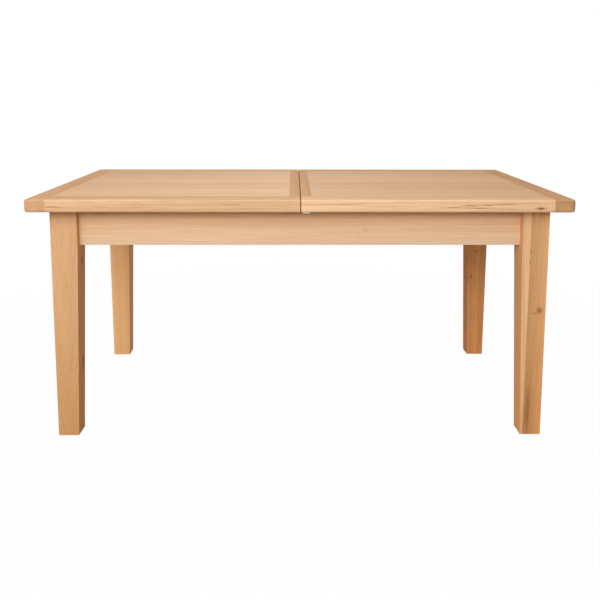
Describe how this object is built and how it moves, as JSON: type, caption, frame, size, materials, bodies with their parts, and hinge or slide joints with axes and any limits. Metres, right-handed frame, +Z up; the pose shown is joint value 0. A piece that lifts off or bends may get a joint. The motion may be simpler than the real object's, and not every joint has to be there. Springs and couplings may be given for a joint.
{
  "type": "extending dining table",
  "caption": "Oak dining table with a top that splits in the middle and slides apart on ball slides, a folding leaf stored below it, and tapered legs.",
  "frame": {"origin": "on the floor, under the middle of the closed top", "axes": "+X along the table towards the right half, +Y to the back, +Z up"},
  "size_m": [1.7, 0.9, 0.785],
  "materials": {
    "oak": "natural oak under satin lacquer",
    "inner_wood": "planed, unlacquered hardwood",
    "zinc_steel": "zinc-plated steel",
    "screw_steel": "bright screw steel",
    "ball_steel": "polished ball steel",
    "nylon": "natural nylon"
  },
  "bodies": {
    "frame": {"front_left_leg": "oak", "front_right_leg": "oak", "back_left_leg": "oak", "back_right_leg": "oak", "front_apron": "oak", "back_apron": "oak", "left_end_apron": "oak", "right_end_apron": "oak", "frame_dowels": "inner_wood", "corner_blocks": "inner_wood", "corner_block_screws": "zinc_steel", "leg_bolts": "zinc_steel", "leg_nuts": "zinc_steel", "foot_glides": "nylon", "left_cross_rail": "inner_wood", "right_cross_rail": "inner_wood", "leaf_ledges": "inner_wood", "slide_channels": "zinc_steel", "channel_screws": "screw_steel", "apron_glides": "nylon", "leaf_a_panel": "oak", "leaf_a_edge_board": "oak", "leaf_b_panel": "oak", "leaf_b_edge_board": "oak", "leaf_battens": "inner_wood", "leaf_hinges": "zinc_steel", "leaf_pins": "nylon", "leaf_pivot_arms": "zinc_steel", "leaf_pivot_pins": "screw_steel", "leaf_pivot_brackets": "zinc_steel", "leaf_screws": "screw_steel"},
    "left_top": {"left_panel": "oak", "left_end_board": "oak", "left_front_board": "oak", "left_back_board": "oak", "left_seam_board": "oak", "left_battens": "inner_wood", "left_runners": "inner_wood", "left_slide_members": "zinc_steel", "left_screws": "screw_steel", "seam_pins": "nylon", "latch_plates": "zinc_steel", "latch_rivets": "screw_steel"},
    "right_top": {"right_panel": "oak", "right_end_board": "oak", "right_front_board": "oak", "right_back_board": "oak", "right_seam_board": "oak", "right_battens": "inner_wood", "right_runners": "inner_wood", "right_slide_members": "zinc_steel", "right_screws": "screw_steel", "latch_keepers": "zinc_steel", "seam_glides": "nylon"},
    "left_cages": {"left_ball_cages": "zinc_steel", "left_balls": "ball_steel"},
    "right_cages": {"right_ball_cages": "zinc_steel", "right_balls": "ball_steel"},
    "front_latch": {"front_latch_lever": "zinc_steel"},
    "back_latch": {"back_latch_lever": "zinc_steel"}
  },
  "joints": [
    {"name": "left_slide", "type": "slide", "parent": "frame", "child": "left_top", "axis": [-1, 0, 0], "range_m": [0, 0.255]},
    {"name": "right_slide", "type": "slide", "parent": "frame", "child": "right_top", "axis": [1, 0, 0], "range_m": [0, 0.255]},
    {"name": "left_cage_roll", "type": "slide", "parent": "frame", "child": "left_cages", "axis": [-1, 0, 0], "range_m": [0, 0.1275]},
    {"name": "right_cage_roll", "type": "slide", "parent": "frame", "child": "right_cages", "axis": [1, 0, 0], "range_m": [0, 0.1275]},
    {"name": "front_latch_turn", "type": "hinge", "parent": "left_top", "child": "front_latch", "pos_m": [-0.018, -0.3, 0.7413], "axis": [0, 0, -1], "range_deg": [0, 90]},
    {"name": "back_latch_turn", "type": "hinge", "parent": "left_top", "child": "back_latch", "pos_m": [-0.018, 0.3, 0.7413], "axis": [0, 0, 1], "range_deg": [0, 90]}
  ],
  "couplings": [
    {"joint": "left_cage_roll", "follows": "left_slide", "ratio": 0.5},
    {"joint": "right_cage_roll", "follows": "right_slide", "ratio": 0.5}
  ]
}
